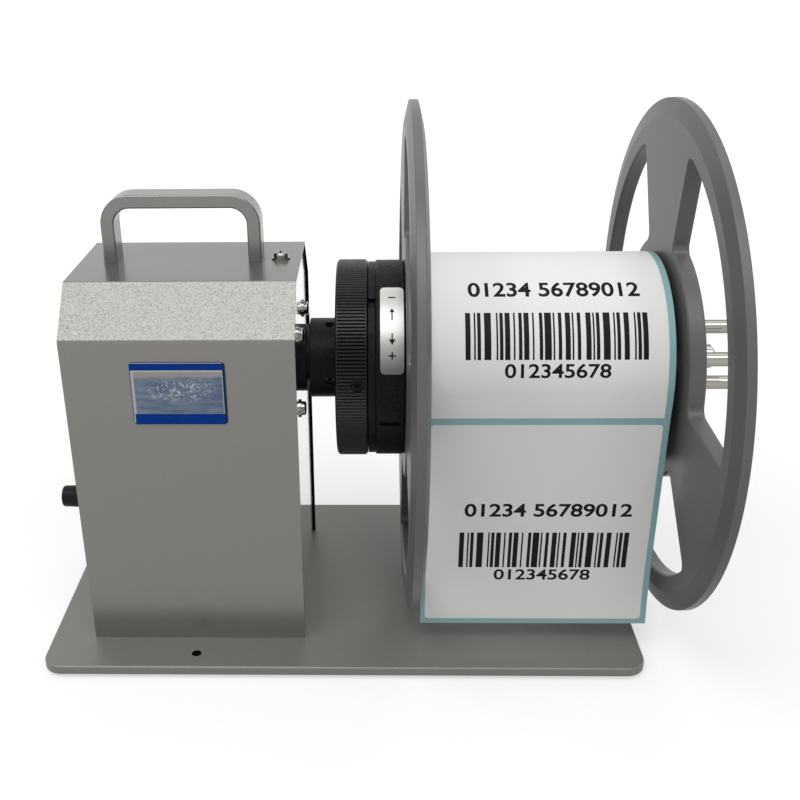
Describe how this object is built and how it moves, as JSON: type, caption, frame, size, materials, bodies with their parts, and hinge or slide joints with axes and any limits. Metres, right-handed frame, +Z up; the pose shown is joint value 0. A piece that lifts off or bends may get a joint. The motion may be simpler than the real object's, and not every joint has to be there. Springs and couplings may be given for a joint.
{
  "type": "label rewinder",
  "caption": "Bench label rewinder: grey sheet-metal drive housing with a carry handle, black adjustable-core hub, spoked flanges on bright rods and a wound roll of labels",
  "frame": {"origin": "on the bench under the spindle axis, midway along the whole length", "axes": "+X along the spindle from the drive housing to the free end, +Y away from the user, +Z up"},
  "size_m": [0.35, 0.2516, 0.2666],
  "materials": {
    "grey_paint": "satin",
    "hammered_grey": "semi-gloss",
    "polished_steel": "polished",
    "bright_steel": "bright",
    "chrome": "polished",
    "dark_steel": "oiled",
    "black_hub": "satin",
    "flange_paint": "satin",
    "alloy": "cast",
    "bronze": "plain",
    "silver_plate": "satin",
    "name_blue": "printed",
    "rubber_black": "matt",
    "knob_black": "satin",
    "switch_black": "satin",
    "board_green": "plain",
    "label_paper": "smooth",
    "core_card": "plain"
  },
  "bodies": {
    "frame": {"base_plate": "grey_paint", "rubber_feet": "rubber_black", "base_screws": "dark_steel", "housing_cover": "hammered_grey", "right_side_plate": "polished_steel", "left_side_plate": "bright_steel", "cover_washer": "bright_steel", "cover_screw": "bright_steel", "carry_handle": "hammered_grey", "handle_screws": "dark_steel", "name_plate": "name_blue", "gearbox_case": "alloy", "gearbox_lid": "alloy", "gearbox_screws": "dark_steel", "gearbox_mount_washers": "bright_steel", "gearbox_mount_screws": "bright_steel", "spindle_bush": "bronze", "idler_pin": "bright_steel", "motor_can": "dark_steel", "motor_end_cap": "knob_black", "motor_screws": "dark_steel", "potentiometer": "bright_steel", "potentiometer_nut": "bright_steel", "switch_housing": "switch_black", "power_inlet": "switch_black", "power_inlet_nut": "bright_steel", "control_board": "board_green", "board_components": "switch_black", "label_web": "label_paper"},
    "spindle": {"spindle_shaft": "bright_steel", "output_gear": "dark_steel", "hub_neck": "black_hub", "hub_grub_screws": "dark_steel", "index_disc": "black_hub", "guide_ring": "black_hub", "size_plate": "silver_plate", "inner_flange": "flange_paint", "inner_flange_screws": "dark_steel", "label_core": "core_card", "label_roll": "label_paper"},
    "adjuster": {"adjusting_ring": "black_hub", "ring_plug": "dark_steel"},
    "rod_1": {"core_rod_1": "chrome", "rod_carrier_1": "dark_steel"},
    "rod_2": {"core_rod_2": "chrome", "rod_carrier_2": "dark_steel"},
    "rod_3": {"core_rod_3": "chrome", "rod_carrier_3": "dark_steel"},
    "outer_flange": {"outer_flange": "flange_paint"},
    "idler": {"idler_gear": "dark_steel"},
    "motor_rotor": {"motor_shaft": "bright_steel", "motor_pinion": "dark_steel"},
    "knob": {"speed_knob": "knob_black", "knob_shaft": "bright_steel"},
    "rocker": {"switch_rocker": "switch_black"}
  },
  "joints": [
    {"name": "spindle_turn", "type": "hinge", "parent": "frame", "child": "spindle", "pos_m": [-0.05, 0, 0.1408], "axis": [1, 0, 0], "continuous": true},
    {"name": "idler_turn", "type": "hinge", "parent": "frame", "child": "idler", "pos_m": [-0.065, 0, 0.1158], "axis": [1, 0, 0], "continuous": true},
    {"name": "motor_turn", "type": "hinge", "parent": "frame", "child": "motor_rotor", "pos_m": [-0.09, 0, 0.1408], "axis": [1, 0, 0], "continuous": true},
    {"name": "adjuster_turn", "type": "hinge", "parent": "spindle", "child": "adjuster", "pos_m": [-0.0195, 0, 0.1408], "axis": [1, 0, 0], "range_deg": [-13.2, 0]},
    {"name": "rod_1_slide", "type": "slide", "parent": "spindle", "child": "rod_1", "axis": [0, 0.7242, 0.6896], "range_m": [-0.00175, 0]},
    {"name": "rod_2_slide", "type": "slide", "parent": "spindle", "child": "rod_2", "axis": [0, -0.9593, 0.2823], "range_m": [-0.00175, 0]},
    {"name": "rod_3_slide", "type": "slide", "parent": "spindle", "child": "rod_3", "axis": [0, 0.2351, -0.972], "range_m": [-0.00175, 0]},
    {"name": "outer_flange_slide", "type": "slide", "parent": "spindle", "child": "outer_flange", "axis": [1, 0, 0], "range_m": [0, 0.035]},
    {"name": "knob_turn", "type": "hinge", "parent": "frame", "child": "knob", "pos_m": [-0.16, -0.025, 0.0743], "axis": [1, 0, 0], "range_deg": [-140, 140]},
    {"name": "rocker_tilt", "type": "hinge", "parent": "frame", "child": "rocker", "pos_m": [-0.1505, 0.006, 0.0743], "axis": [0, 0, 1], "range_deg": [-10, 10]}
  ],
  "couplings": [
    {"joint": "idler_turn", "follows": "spindle_turn", "ratio": -3},
    {"joint": "motor_turn", "follows": "spindle_turn", "ratio": 9},
    {"joint": "rod_1_slide", "follows": "adjuster_turn", "m_per_rad": 0.007544},
    {"joint": "rod_2_slide", "follows": "adjuster_turn", "m_per_rad": 0.007544},
    {"joint": "rod_3_slide", "follows": "adjuster_turn", "m_per_rad": 0.007544}
  ]
}
